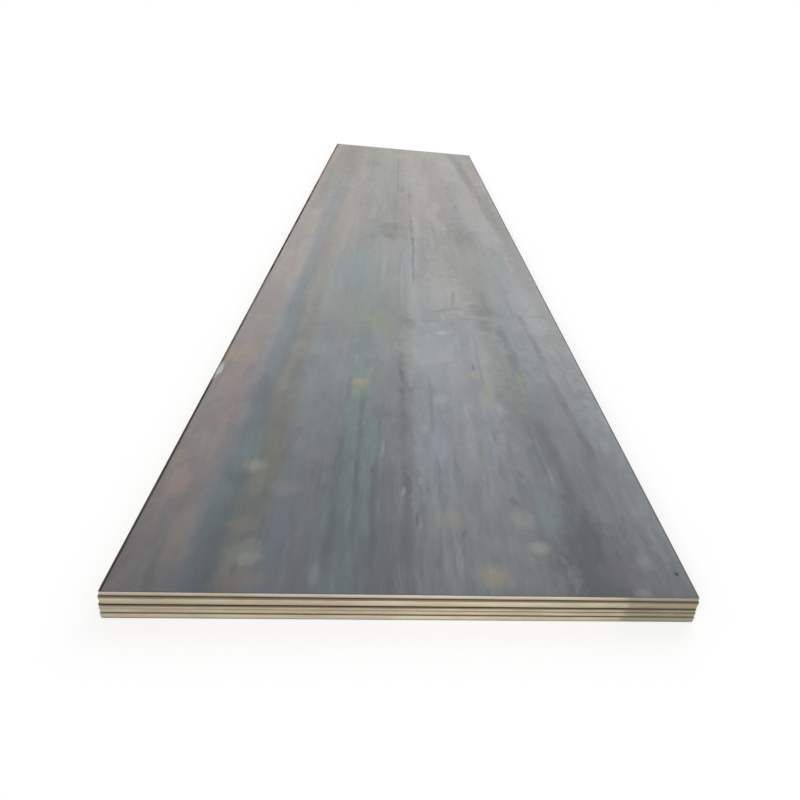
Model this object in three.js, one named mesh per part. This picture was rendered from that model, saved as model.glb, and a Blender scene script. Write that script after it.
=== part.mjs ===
// A stack of five hot-rolled steel plates, sheared to one nominal size and laid flat on each other.
//
// Millimetres. +X runs across the plates, +Y along the rolling direction and +Z up. The near end of the stack
// is at -Y. The origin is on the floor, under the middle of the stack.
//
// Every plate is one solid: a flat body with a sheared edge all round and knocked corners. The top and bottom
// plates are flat. Those between them undulate by a few millimetres along their length, as rolled plate does,
// so the plates meet only where a hollow of one comes down on a crest of the next, and gape elsewhere.

import * as THREE from 'three';
import { mergeVertices } from 'three/addons/utils/BufferGeometryUtils.js';

// ---------------------------------------------------------------- driving sizes

const WIDTH = 1500; // nominal width, across the rolling direction
const LENGTH = 6000; // nominal length, along the rolling direction
const CORNER_RADIUS = 7; // knocked corners, seen from above
const SEAT_CLEARANCE = 0.3; // between two plates where they meet

// The zones of a sheared edge grow with the plate, so they are shares of each plate's own thickness.
const ROLL_OVER_DEPTH = 0.1; // shoulder that the blade drags down, measured down the edge
const ROLL_OVER_WIDTH = 0.16; // the same shoulder, measured in from the edge
const CUT_DEPTH = 0.4; // upright land that the blade cuts cleanly
const TEAR_LEAN = 0.06; // how far the torn face below it leans back, per millimetre of its height
const FOOT_RADIUS = 0.06; // small round where the tear leaves the plate

// The plates from the floor up. oversize is how far a plate is wider and longer than nominal, and shift is how
// far its middle lies off the stack's middle, both as [across, along]. wave is how an uneven plate undulates: the
// height of a crest above the plate's mean level, the length of one wave, and how many waves the first crest lies
// from the near end. twist is how far its near right corner then stands above its near left one.
const PLATES = [
  { name: 'bottom_plate', thickness: 15, oversize: [20, 12], shift: [0, 0] },
  {
    name: 'fourth_plate', thickness: 12, oversize: [18, 8], shift: [0, 0],
    wave: { crest: 2.2, length: 4400, start: 0 }, twist: 0,
  },
  {
    name: 'third_plate', thickness: 12, oversize: [15, 9], shift: [-1, 1],
    wave: { crest: 3, length: 2600, start: 0.5 }, twist: 2.7,
  },
  {
    name: 'second_plate', thickness: 25, oversize: [9, 6], shift: [0, -1],
    wave: { crest: 2.4, length: 4800, start: 0.5 }, twist: 1.5,
  },
  { name: 'top_plate', thickness: 12, oversize: [0, 6], shift: [0, 0] },
];

// Mill scale: dull blue-grey oxide over the whole plate.
const SCALE_FINISH = { color: 0x72787a, roughness: 0.4, metalness: 0 };

// How finely the surfaces are divided. Facets keep about their length when a plate grows, so its waves stay round.
const FACET_LENGTH = 250;
const ALONG_STEPS = Math.round(LENGTH / FACET_LENGTH);
const ACROSS_STEPS = 4;
const CORNER_STEPS = 2;
const ARC_STEPS = 1;

// ---------------------------------------------------------------- how the plates lie

/** How far an uneven plate stands above its own mean level at a place in the stack. */
function flexAt(plate, x, y) {
  if (!plate.wave) return 0;
  const waves = (y + LENGTH / 2) / plate.wave.length - plate.wave.start;
  const wave = plate.wave.crest * Math.cos(2 * Math.PI * waves);
  const nearness = THREE.MathUtils.clamp(-y / (LENGTH / 2), 0, 1);
  return wave + plate.twist * (x / WIDTH + 0.5) * nearness ** 2;
}

/** Mean height of each plate's underside: each is let down until it meets the plate below somewhere. */
function settle() {
  const across = gridLines([-WIDTH / 2, WIDTH / 2], [ACROSS_STEPS]);
  const along = gridLines([-LENGTH / 2, LENGTH / 2], [ALONG_STEPS]);
  const places = across.flatMap((x) => along.map((y) => [x, y]));
  const heights = [0];
  for (let i = 1; i < PLATES.length; i += 1) {
    const [below, plate] = [PLATES[i - 1], PLATES[i]];
    const meeting = Math.max(...places.map(([x, y]) => flexAt(below, x, y) - flexAt(plate, x, y)));
    heights.push(heights[i - 1] + below.thickness + meeting + SEAT_CLEARANCE);
  }
  return heights;
}

// ---------------------------------------------------------------- the form of one plate

/** The sheared edge from its torn foot up to its rolled shoulder, as points (inset, height). */
function shearedEdge(thickness) {
  const foot = FOOT_RADIUS * thickness;
  const shoulderDepth = ROLL_OVER_DEPTH * thickness;
  const shoulderWidth = ROLL_OVER_WIDTH * thickness;
  const landTop = thickness - shoulderDepth;
  const landFoot = landTop - CUT_DEPTH * thickness;
  const lean = TEAR_LEAN * (landFoot - foot);
  const edge = new THREE.Path();
  edge.absarc(lean + foot, foot, foot, -Math.PI / 2, -Math.PI, true);
  edge.lineTo(0, landFoot);
  edge.absellipse(shoulderWidth, landTop, shoulderWidth, shoulderDepth, Math.PI, Math.PI / 2, true);
  return edge.getPoints(ARC_STEPS);
}

/** Grid lines along one direction: each stretch between two breaks is divided evenly into its steps. */
function gridLines(breaks, steps) {
  const lines = [breaks[0]];
  steps.forEach((count, stretch) => {
    for (let step = 1; step <= count; step += 1) {
      lines.push(THREE.MathUtils.lerp(breaks[stretch], breaks[stretch + 1], step / count));
    }
  });
  return lines;
}

/** Moves a point in the square corner of a rectangle onto the grid of a quarter round. */
function roundCorner(x, y, halfX, halfY) {
  const u = (Math.abs(x) - (halfX - CORNER_RADIUS)) / CORNER_RADIUS;
  const v = (Math.abs(y) - (halfY - CORNER_RADIUS)) / CORNER_RADIUS;
  if (u <= 0 || v <= 0) return [x, y];
  const roundX = halfX - CORNER_RADIUS * (1 - u * Math.sqrt(1 - (v * v) / 2));
  const roundY = halfY - CORNER_RADIUS * (1 - v * Math.sqrt(1 - (u * u) / 2));
  return [Math.sign(x) * roundX, Math.sign(y) * roundY];
}

/** One plate: a gridded block, drawn in to the sheared edge, rounded at its corners and flexed. */
function plateGeometry(plate) {
  const halfX = (WIDTH + plate.oversize[0]) / 2;
  const halfY = (LENGTH + plate.oversize[1]) / 2;
  const edge = shearedEdge(plate.thickness);
  const acrossSteps = [CORNER_STEPS, ACROSS_STEPS, CORNER_STEPS];
  const alongSteps = [CORNER_STEPS, ALONG_STEPS, CORNER_STEPS];
  const acrossCount = acrossSteps.reduce((sum, steps) => sum + steps);
  const alongCount = alongSteps.reduce((sum, steps) => sum + steps);

  // The plan grid at each height of the edge: its rim follows the edge's inset.
  const levels = edge.map(({ x: inset, y: height }) => {
    const rimX = halfX - inset;
    const rimY = halfY - inset;
    const cornerX = rimX - CORNER_RADIUS;
    const cornerY = rimY - CORNER_RADIUS;
    return {
      height,
      rimX,
      rimY,
      across: gridLines([-rimX, -cornerX, cornerX, rimX], acrossSteps),
      along: gridLines([-rimY, -cornerY, cornerY, rimY], alongSteps),
    };
  });

  const block = new THREE.BoxGeometry(1, 1, 1, acrossCount, alongCount, levels.length - 1);
  block.deleteAttribute('normal');
  block.deleteAttribute('uv');
  const geometry = mergeVertices(block, 1e-6);
  const points = geometry.getAttribute('position');
  for (let i = 0; i < points.count; i += 1) {
    const level = levels[Math.round((points.getZ(i) + 0.5) * (levels.length - 1))];
    const gridX = level.across[Math.round((points.getX(i) + 0.5) * acrossCount)];
    const gridY = level.along[Math.round((points.getY(i) + 0.5) * alongCount)];
    const [x, y] = roundCorner(gridX, gridY, level.rimX, level.rimY);
    const flex = flexAt(plate, x + plate.shift[0], y + plate.shift[1]);
    points.setXYZ(i, x, y, level.height + flex);
  }
  geometry.computeVertexNormals();
  return geometry;
}

// ---------------------------------------------------------------- the stack

/** One plate as a named mesh, at its place in the stack. */
function plateMesh(plate, height) {
  const mesh = new THREE.Mesh(plateGeometry(plate), new THREE.MeshStandardMaterial(SCALE_FINISH));
  mesh.name = plate.name;
  mesh.position.set(plate.shift[0], plate.shift[1], height);
  return mesh;
}

const stack = new THREE.Group();
const heights = settle();
stack.add(...PLATES.map((plate, i) => plateMesh(plate, heights[i])));

// The origin stays under the middle of the whole stack, whatever each plate's own shift.
const middle = new THREE.Box3().setFromObject(stack).getCenter(new THREE.Vector3());
for (const plate of stack.children) {
  plate.position.x -= middle.x;
  plate.position.y -= middle.y;
}

export default stack;
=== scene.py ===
"""Dresses the stack of hot-rolled steel plates: fine sheared edges, mill scale, studio and camera.

Lengths are metres. +X runs across the plates, +Y along the rolling direction and +Z up. The near end of the
stack is at -Y, and its left side at -X.
"""

from __future__ import annotations

import logging
import math
from collections.abc import Mapping, Sequence
from dataclasses import dataclass
from enum import Enum

import bpy
import numpy as np
from mathutils import Matrix, Vector
from mathutils.bvhtree import BVHTree


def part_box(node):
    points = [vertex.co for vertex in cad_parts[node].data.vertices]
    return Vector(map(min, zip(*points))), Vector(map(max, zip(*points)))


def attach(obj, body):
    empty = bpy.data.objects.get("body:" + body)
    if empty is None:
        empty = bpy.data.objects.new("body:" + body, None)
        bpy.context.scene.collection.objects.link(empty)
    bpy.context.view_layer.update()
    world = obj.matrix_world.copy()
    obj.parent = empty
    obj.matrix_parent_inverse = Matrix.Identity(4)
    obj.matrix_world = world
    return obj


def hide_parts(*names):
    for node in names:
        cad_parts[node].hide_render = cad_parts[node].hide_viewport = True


log = logging.getLogger("steel_plates")

MM = 0.001
NOMINAL_WIDTH = 1.5  # of a plate

Triple = tuple[float, float, float]
Stops = Sequence[tuple[float, Triple]]  # places along a colour ramp, each with its colour

WHITE: Triple = (1.0, 1.0, 1.0)


# ------------------------------------------------------------------ shader arithmetic


@dataclass(frozen=True)
class Shade:
    """A socket of a node tree that takes part in arithmetic on numbers.

    Attributes:
        graph: The graph that the socket belongs to.
        socket: The socket.
    """

    graph: Graph
    socket: bpy.types.NodeSocket

    def __add__(self, other: Operand) -> Shade:
        """Sum."""
        return self.graph.maths("ADD", self, other)

    def __radd__(self, other: Operand) -> Shade:
        """Sum with the number on the left."""
        return self.graph.maths("ADD", other, self)

    def __sub__(self, other: Operand) -> Shade:
        """Difference."""
        return self.graph.maths("SUBTRACT", self, other)

    def __rsub__(self, other: Operand) -> Shade:
        """Difference from the number on the left."""
        return self.graph.maths("SUBTRACT", other, self)

    def __mul__(self, other: Operand) -> Shade:
        """Product."""
        return self.graph.maths("MULTIPLY", self, other)

    def __rmul__(self, other: Operand) -> Shade:
        """Product with the number on the left."""
        return self.graph.maths("MULTIPLY", other, self)

    def __truediv__(self, other: Operand) -> Shade:
        """Quotient."""
        return self.graph.maths("DIVIDE", self, other)

    def __rtruediv__(self, other: Operand) -> Shade:
        """Quotient with the number on top."""
        return self.graph.maths("DIVIDE", other, self)

    def __abs__(self) -> Shade:
        """Size without sign."""
        return self.graph.maths("ABSOLUTE", self)

    def above(self, low: float, high: float) -> Shade:
        """A soft step.

        Args:
            low: Value at which the step starts to rise from 0.
            high: Value at which it reaches 1.

        Returns:
            The step.
        """
        return self.graph.ramp(self, low, high)

    def below(self, low: float, high: float) -> Shade:
        """A soft step that falls from 1 at low to 0 at high."""
        return 1 - self.graph.ramp(self, low, high)


Operand = Shade | float


class Graph:
    """Writes the nodes of one node tree."""

    def __init__(self, tree: bpy.types.NodeTree) -> None:
        """Clears the tree and starts on it."""
        self.tree = tree
        tree.nodes.clear()

    def add(
        self,
        kind: str,
        settings: Mapping[str, object] | None = None,
        inputs: Mapping[str | int, object] | None = None,
        output: str | int = 0,
    ) -> Shade:
        """Adds one node.

        Args:
            kind: The node's type name.
            settings: Its properties, set first. "stops" holds a colour ramp's (place, colour) pairs.
            inputs: Values or links for its sockets, by name or number.
            output: The output that is handed on.

        Returns:
            That output.
        """
        node = self.tree.nodes.new(kind)
        for name, value in (settings or {}).items():
            if name == "stops":
                self._set_stops(node.color_ramp, value)
            else:
                setattr(node, name, value)
        for name, value in (inputs or {}).items():
            if isinstance(value, Shade):
                self.tree.links.new(value.socket, node.inputs[name])
            else:
                node.inputs[name].default_value = value
        return Shade(self, node.outputs[output] if len(node.outputs) else None)

    @staticmethod
    def _set_stops(ramp: bpy.types.ColorRamp, stops: Stops) -> None:
        """Puts the stops on a colour ramp.

        Args:
            ramp: The ramp.
            stops: Its stops, in order.
        """
        while len(ramp.elements) < len(stops):
            ramp.elements.new(0.5)  # anywhere: all are moved to their places next
        for element, (place, colour) in zip(ramp.elements, stops, strict=True):
            element.position = place
            element.color = (*colour, 1.0)

    def maths(self, operation: str, *values: Operand) -> Shade:
        """One Math node on the given values."""
        return self.add("ShaderNodeMath", {"operation": operation}, dict(enumerate(values)))

    def most(self, first: Operand, second: Operand) -> Shade:
        """The larger of two values."""
        return self.maths("MAXIMUM", first, second)

    def least(self, first: Operand, second: Operand) -> Shade:
        """The smaller of two values."""
        return self.maths("MINIMUM", first, second)

    def ramp(self, value: Shade, low: float, high: float, first: float = 0.0, last: float = 1.0) -> Shade:
        """Value mapped smoothly from low..high to first..last, and held there."""
        ends = {"Value": value, "From Min": low, "From Max": high, "To Min": first, "To Max": last}
        return self.add("ShaderNodeMapRange", {"interpolation_type": "SMOOTHSTEP"}, ends)

    def fade(self, value: Shade, full: float, none: float, most: float = 1.0) -> Shade:
        """A soft cover that is at its most where the value is at full, and 0 from none on."""
        return self.ramp(value, full, none, most, 0.0)

    def vector(self, x: Operand, y: Operand, z: Operand) -> Shade:
        """A vector from its three parts."""
        return self.add("ShaderNodeCombineXYZ", None, {"X": x, "Y": y, "Z": z})

    def stretch(self, vector: Shade, scale: Triple, shift: Triple) -> Shade:
        """The vector scaled part by part, then shifted."""
        sockets = {0: vector, 1: scale, 2: shift}
        return self.add("ShaderNodeVectorMath", {"operation": "MULTIPLY_ADD"}, sockets)

    def oval(self, vector: Shade, middle: Triple, turn: float, reach: Triple) -> Shade:
        """An oval that is 1 in its middle and falls evenly to 0 at its reach.

        Args:
            vector: The place on the face.
            middle: The oval's middle.
            turn: Degrees that it is turned to the left.
            reach: Its half sizes.

        Returns:
            The oval.
        """
        fall = self.add("ShaderNodeTexGradient", {"gradient_type": "SPHERICAL"}, {"Vector": vector}, "Fac")
        mapping = fall.socket.node.texture_mapping
        mapping.vector_type = "TEXTURE"
        mapping.translation = middle
        mapping.rotation = (0, 0, math.radians(turn))
        mapping.scale = reach
        return fall

    def parts(self, vector: Shade) -> tuple[Shade, ...]:
        """The three parts of a vector."""
        split = self.add("ShaderNodeSeparateXYZ", None, {"Vector": vector})
        return tuple(Shade(self, output) for output in split.socket.node.outputs)

    def mix(
        self, factor: Operand, first: Shade | Triple, second: Shade | Triple, blend: str = "MIX"
    ) -> Shade:
        """Blends two colours.

        Args:
            factor: 0 for the first, 1 for the second.
            first: Colour under.
            second: Colour over.
            blend: The Mix node's blend type.

        Returns:
            The blended colour.
        """
        settings = {"data_type": "RGBA", "blend_type": blend, "clamp_factor": True}
        colours = [c if isinstance(c, Shade) else (*c, 1.0) for c in (first, second)]
        return self.add("ShaderNodeMix", settings, {0: factor, 6: colours[0], 7: colours[1]}, output=2)

    def noise(self, vector: Shade, scale: float, detail: float = 2.0, roughness: float = 0.5) -> Shade:
        """Cloudy noise around 0.5."""
        sockets = {"Vector": vector, "Scale": scale, "Detail": detail, "Roughness": roughness}
        return self.add("ShaderNodeTexNoise", {"noise_dimensions": "3D"}, sockets)

    def tint(self, value: Shade, stops: Stops) -> Shade:
        """The colour that a ramp gives a value."""
        return self.add("ShaderNodeValToRGB", {"stops": stops}, {"Fac": value})

    def bump(self, height: Shade, strength: float, distance: float) -> Shade:
        """Normals of a fine relief."""
        sockets = {"Strength": strength, "Distance": distance, "Height": height}
        return self.add("ShaderNodeBump", None, sockets)

    def paint(self, sockets: Mapping[str, object]) -> Shade:
        """A Principled shader with the given values and links."""
        return self.add("ShaderNodeBsdfPrincipled", None, sockets)

    def cover(self, factor: Operand, under: Shade, over: Shade) -> Shade:
        """One shader laid over another."""
        return self.add("ShaderNodeMixShader", None, {0: factor, 1: under, 2: over})

    def surface(self, shader: Shade) -> None:
        """Makes the shader the material's surface."""
        self.add("ShaderNodeOutputMaterial", None, {"Surface": shader})


def new_material(name: str) -> tuple[bpy.types.Material, Graph]:
    """Makes a material with an empty node tree.

    Args:
        name: The material's name.

    Returns:
        The material, and the graph that writes its nodes.
    """
    material = bpy.data.materials.new(name)
    material.use_nodes = True
    return material, Graph(material.node_tree)


# ------------------------------------------------------------------ finishes


@dataclass(frozen=True)
class Mark:
    """One stain, scuff or bare spot on a plate's face.

    Attributes:
        across: Distance of its middle from the plate's left edge.
        along: Distance of its middle from the near end.
        width: Its size across.
        length: Its size along.
        colour: Its colour.
        strength: How fully it covers the scale.
        turn: Degrees that it is turned to the left.
        soft: Width of its fading border, as a share of its half size.
    """

    across: float
    along: float
    width: float
    length: float
    colour: Triple
    strength: float
    turn: float = 0.0
    soft: float = 0.9


@dataclass(frozen=True)
class OxideLine:
    """One ragged dark line of thicker oxide that wanders along the rolling direction.

    Attributes:
        across: Its mean distance from the plate's left edge.
        start: Where it starts, from the near end.
        end: Where it fades out.
        width: Its mean width.
        sway: How far it wanders to either side.
        strength: How fully it covers the scale.
        lean: How far it moves across for each metre along, from its start.
    """

    across: float
    start: float
    end: float
    width: float
    sway: float
    strength: float
    lean: float = 0.0


PALE_DUST = (0.33, 0.33, 0.27)
WHITE_SCUFF = (0.50, 0.51, 0.52)
ORANGE_RUST = (0.40, 0.26, 0.09)
TAN_RUST = (0.32, 0.26, 0.17)
PEACH_TINT = (0.33, 0.23, 0.17)
GREEN_TINT = (0.22, 0.25, 0.14)
TEAL_TINT = (0.12, 0.19, 0.18)
TEAL_PALE = (0.17, 0.225, 0.215)
AQUA_FILM = (0.20, 0.26, 0.27)
OLIVE_TINT = (0.20, 0.20, 0.155)
BLUE_TINT = (0.13, 0.16, 0.21)
VIOLET_TINT = (0.10, 0.095, 0.12)
LILAC_FILM = (0.24, 0.23, 0.28)
PALE_FILM = (0.27, 0.28, 0.295)
SAND_FILM = (0.36, 0.34, 0.30)
BROWN_FILM = (0.15, 0.125, 0.10)
SMUDGE = (0.115, 0.115, 0.105)
DARK_OXIDE = (0.036, 0.045, 0.052)
# Matt black of the sooty films, and of the painted shade line along each side.
SOOT_AND_SIDE_SHADE = (0.046, 0.042, 0.043)
# Painted shade along the faces' rims, which on the lower plates lie in the gaps under the plate above.
RIM_SHADE = (0.055, 0.040, 0.024)
# Painted shade at the foot and the shoulder of each cut, in the gaps between the plates, dark brown.
BROWN_GAP_SHADE = (0.105, 0.074, 0.034)
# Paler painted shade along the rims of the bottom plate, in the lowest gap.
PALE_RIM_SHADE = (0.20, 0.165, 0.115)

TOP_MARKS = (
    # wide shades
    Mark(1.290, 0.30, 0.500, 2.40, DARK_OXIDE, 0.18),
    Mark(0.560, 0.30, 0.150, 0.90, TEAL_TINT, 0.06),
    Mark(0.150, 4.90, 0.420, 3.00, SMUDGE, 0.48),
    Mark(0.250, 3.20, 0.180, 2.60, SMUDGE, 0.12),
    Mark(1.460, 2.60, 0.160, 3.60, SMUDGE, 0.58),
    Mark(1.130, 2.10, 0.260, 0.90, SMUDGE, 0.16),
    Mark(1.250, 3.60, 0.240, 1.60, PALE_FILM, 0.24),
    Mark(1.215, 3.70, 0.280, 3.00, SAND_FILM, 0.13),
    Mark(1.430, 3.70, 0.100, 3.00, SMUDGE, 0.22),
    Mark(0.820, 4.20, 0.200, 2.20, SAND_FILM, 0.08),
    Mark(1.205, 5.35, 0.190, 1.20, SAND_FILM, 0.24),
    Mark(0.670, 5.35, 0.150, 1.20, SAND_FILM, 0.14),
    Mark(0.500, 0.08, 0.560, 0.60, PALE_FILM, 0.06),
    Mark(0.950, 0.25, 0.240, 0.45, PALE_FILM, 0.06),
    # far third
    Mark(1.285, 5.62, 0.085, 0.80, SMUDGE, 0.60, 4, 0.5),
    Mark(1.335, 4.95, 0.095, 1.00, SMUDGE, 0.68, 3, 0.5),
    Mark(1.370, 4.25, 0.075, 0.90, SMUDGE, 0.52, 3, 0.5),
    Mark(1.405, 3.60, 0.085, 1.00, SMUDGE, 0.58, 2, 0.5),
    Mark(1.455, 5.85, 0.060, 0.25, SMUDGE, 0.50, 0, 0.6),
    Mark(1.200, 5.20, 0.180, 1.40, PALE_FILM, 0.34),
    Mark(0.955, 5.20, 0.080, 1.00, SMUDGE, 0.28),
    Mark(0.900, 5.40, 0.240, 0.90, SAND_FILM, 0.10),
    Mark(0.850, 4.60, 0.220, 0.70, PALE_FILM, 0.18),
    Mark(0.875, 3.50, 0.150, 1.50, SAND_FILM, 0.16),
    Mark(1.110, 4.05, 0.260, 0.90, SMUDGE, 0.18),
    Mark(1.120, 2.95, 0.280, 0.40, SMUDGE, 0.20),
    Mark(0.470, 5.12, 0.220, 0.50, SMUDGE, 0.30),
    Mark(0.400, 5.55, 0.420, 0.80, GREEN_TINT, 0.32),
    Mark(0.510, 4.50, 0.320, 1.60, TEAL_PALE, 0.30),
    Mark(0.820, 4.70, 0.180, 1.80, PALE_FILM, 0.30),
    Mark(0.449, 5.07, 0.110, 0.30, SMUDGE, 0.30),
    Mark(0.115, 5.05, 0.110, 1.80, OLIVE_TINT, 0.42),
    Mark(0.035, 4.60, 0.075, 2.60, PEACH_TINT, 0.42),
    Mark(0.040, 5.40, 0.080, 1.20, PEACH_TINT, 0.30),
    Mark(0.300, 4.50, 0.140, 0.70, PEACH_TINT, 0.12),
    Mark(0.195, 3.70, 0.060, 1.50, BLUE_TINT, 0.40),
    Mark(0.722, 4.12, 0.040, 0.26, SMUDGE, 0.50, 0, 0.5),
    Mark(0.660, 3.85, 0.130, 0.45, SMUDGE, 0.22),
    Mark(1.150, 3.66, 0.035, 0.20, SMUDGE, 0.50, -5, 0.5),
    Mark(1.130, 4.33, 0.045, 0.14, SMUDGE, 0.35),
    Mark(1.050, 3.40, 0.120, 0.65, SMUDGE, 0.35, 0, 0.6),
    # middle third
    Mark(1.050, 2.35, 0.420, 1.20, SAND_FILM, 0.32),
    Mark(1.095, 2.00, 0.130, 0.80, SMUDGE, 0.12),
    Mark(1.300, 1.35, 0.360, 0.80, DARK_OXIDE, 0.05),
    Mark(0.920, 1.86, 0.340, 0.60, SAND_FILM, 0.26),
    Mark(0.722, 2.00, 0.026, 0.70, PALE_DUST, 0.34),
    Mark(0.480, 1.50, 0.560, 0.035, SMUDGE, 0.24, 12),
    Mark(1.100, 1.645, 0.130, 0.022, PALE_DUST, 0.26),
    Mark(1.020, 1.88, 0.030, 0.120, PALE_FILM, 0.40),
    Mark(0.645, 2.860, 0.150, 0.17, SMUDGE, 0.46),
    Mark(0.530, 2.78, 0.110, 0.10, SMUDGE, 0.26),
    Mark(0.632, 3.05, 0.170, 0.24, SMUDGE, 0.42),
    Mark(1.120, 2.60, 0.270, 1.30, SMUDGE, 0.34, 0, 0.4),
    Mark(1.105, 2.75, 0.060, 0.50, SMUDGE, 0.25),
    Mark(1.330, 3.05, 0.150, 0.90, PALE_FILM, 0.30, 0, 0.5),
    Mark(1.340, 2.40, 0.120, 0.50, TEAL_PALE, 0.28),
    Mark(1.330, 2.10, 0.130, 0.32, LILAC_FILM, 0.32),
    Mark(0.740, 2.30, 0.045, 0.50, PALE_FILM, 0.30, 0, 0.5),
    Mark(0.692, 2.28, 0.020, 0.55, GREEN_TINT, 0.35),
    Mark(0.615, 2.25, 0.020, 0.40, PALE_FILM, 0.40),
    Mark(0.490, 2.25, 0.260, 0.70, TEAL_PALE, 0.36),
    Mark(0.480, 2.05, 0.320, 1.00, AQUA_FILM, 0.26),
    Mark(0.450, 2.15, 0.018, 0.60, TEAL_TINT, 0.25),
    Mark(0.520, 2.30, 0.014, 0.60, AQUA_FILM, 0.45),
    Mark(0.587, 2.20, 0.022, 0.70, TEAL_TINT, 0.34),
    Mark(1.072, 2.12, 0.040, 0.28, GREEN_TINT, 0.22),
    Mark(0.990, 1.86, 0.020, 0.22, SMUDGE, 0.42, -6),
    Mark(1.125, 1.715, 0.170, 0.150, SMUDGE, 0.34),
    Mark(1.150, 1.70, 0.080, 0.090, SMUDGE, 0.34, 0, 0.8),
    Mark(1.085, 1.78, 0.070, 0.035, SMUDGE, 0.34, 12),
    Mark(1.140, 1.90, 0.070, 0.220, SMUDGE, 0.26),
    Mark(1.155, 1.86, 0.035, 0.200, SMUDGE, 0.38),
    Mark(0.945, 1.71, 0.210, 0.040, SMUDGE, 0.42, 27),
    Mark(1.405, 1.69, 0.110, 0.05, SMUDGE, 0.52, 4),
    Mark(1.285, 1.78, 0.025, 0.28, VIOLET_TINT, 0.35),
    Mark(1.370, 1.88, 0.170, 0.40, PALE_FILM, 0.32, 0, 0.5),
    Mark(1.020, 1.67, 0.050, 0.06, PALE_DUST, 0.35),
    Mark(0.920, 1.62, 0.045, 0.10, PALE_DUST, 0.30),
    # the first metre and a half
    Mark(0.850, 1.35, 0.270, 0.34, WHITE_SCUFF, 0.13, 0, 0.35),
    Mark(0.795, 1.46, 0.130, 0.10, TEAL_PALE, 0.35, 0, 0.5),
    Mark(0.930, 1.38, 0.060, 0.13, TEAL_PALE, 0.40),
    Mark(0.860, 1.12, 0.260, 0.30, WHITE_SCUFF, 0.06, 0, 0.6),
    Mark(1.380, 1.60, 0.140, 0.20, PALE_FILM, 0.32, 0, 0.4),
    Mark(0.620, 1.48, 0.150, 0.32, GREEN_TINT, 0.22),
    Mark(0.520, 1.62, 0.280, 0.50, GREEN_TINT, 0.16),
    Mark(0.765, 1.54, 0.050, 0.12, SMUDGE, 0.45),
    Mark(1.040, 1.615, 0.090, 0.030, SMUDGE, 0.36),
    Mark(1.130, 1.600, 0.110, 0.035, SMUDGE, 0.36),
    Mark(1.125, 1.54, 0.110, 0.130, SMUDGE, 0.34),
    Mark(1.105, 1.42, 0.090, 0.110, SMUDGE, 0.28),
    Mark(1.185, 1.47, 0.045, 0.14, SMUDGE, 0.60),
    Mark(1.262, 1.33, 0.035, 0.06, SMUDGE, 0.50),
    Mark(1.165, 1.15, 0.100, 0.50, SMUDGE, 0.30, 4),
    Mark(1.195, 1.25, 0.050, 0.40, DARK_OXIDE, 0.16, 4),
    Mark(1.208, 0.78, 0.048, 0.50, DARK_OXIDE, 0.20),
    Mark(1.050, 1.27, 0.120, 0.24, PALE_FILM, 0.25),
    Mark(1.360, 1.10, 0.080, 0.35, LILAC_FILM, 0.28),
    Mark(0.905, 1.450, 0.050, 0.050, WHITE_SCUFF, 0.26),
    Mark(0.010, 1.03, 0.022, 0.110, WHITE_SCUFF, 0.62, 0, 0.7),
    Mark(0.080, 1.15, 0.090, 0.16, TAN_RUST, 0.28),
    Mark(0.020, 1.16, 0.030, 0.12, ORANGE_RUST, 0.22),
    Mark(0.205, 1.18, 0.045, 0.30, BLUE_TINT, 0.40, 4),
    Mark(0.505, 1.18, 0.045, 0.36, BLUE_TINT, 0.38),
    Mark(0.532, 1.17, 0.018, 0.12, PALE_FILM, 0.35),
    Mark(0.558, 0.985, 0.084, 0.092, ORANGE_RUST, 0.52, 0, 1.0),
    Mark(0.545, 0.91, 0.045, 0.100, GREEN_TINT, 0.35),
    Mark(0.540, 0.95, 0.110, 0.400, TEAL_TINT, 0.10),
    Mark(1.015, 1.085, 0.050, 0.060, TAN_RUST, 0.36),
    Mark(1.022, 1.145, 0.016, 0.060, DARK_OXIDE, 0.42),
    Mark(1.062, 0.95, 0.045, 0.240, GREEN_TINT, 0.38, -12, 0.6),
    Mark(1.206, 1.06, 0.046, 0.115, GREEN_TINT, 0.44),
    Mark(1.207, 0.98, 0.030, 0.080, OLIVE_TINT, 0.40),
    Mark(0.720, 1.055, 0.020, 0.110, DARK_OXIDE, 0.50, 3, 0.8),
    Mark(0.718, 0.94, 0.030, 0.050, DARK_OXIDE, 0.35),
    Mark(0.757, 1.04, 0.025, 0.130, PALE_FILM, 0.40),
    Mark(0.868, 0.895, 0.060, 0.080, PALE_FILM, 0.45),
    Mark(0.800, 0.70, 0.036, 0.070, PALE_FILM, 0.40),
    Mark(1.090, 0.84, 0.026, 0.090, PALE_FILM, 0.35),
    Mark(1.046, 0.665, 0.014, 0.090, DARK_OXIDE, 0.42),
    Mark(1.150, 0.83, 0.090, 0.100, SMUDGE, 0.40, 0, 0.5),
    # near end, right
    Mark(1.245, 0.13, 0.150, 0.42, DARK_OXIDE, 0.42, 0, 0.6),
    Mark(1.262, 0.20, 0.030, 0.30, DARK_OXIDE, 0.45, 0, 0.6),
    Mark(1.246, 0.42, 0.022, 0.20, DARK_OXIDE, 0.50, 5, 0.6),
    Mark(1.212, 0.06, 0.045, 0.11, DARK_OXIDE, 0.40, 0, 0.6),
    Mark(1.325, 0.085, 0.160, 0.09, VIOLET_TINT, 0.60, 0, 0.5),
    Mark(1.270, 0.48, 0.070, 0.16, VIOLET_TINT, 0.22),
    Mark(1.345, 0.52, 0.028, 0.34, DARK_OXIDE, 0.30),
    Mark(1.370, 0.24, 0.024, 0.090, DARK_OXIDE, 0.45, -14, 0.6),
    Mark(1.305, 0.17, 0.040, 0.120, TEAL_PALE, 0.22, -10),
    Mark(1.160, 0.31, 0.090, 0.220, TEAL_TINT, 0.45),
    Mark(1.350, 0.015, 0.050, 0.040, PALE_DUST, 0.26),
    Mark(1.395, 0.12, 0.050, 0.060, PALE_FILM, 0.26),
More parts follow.
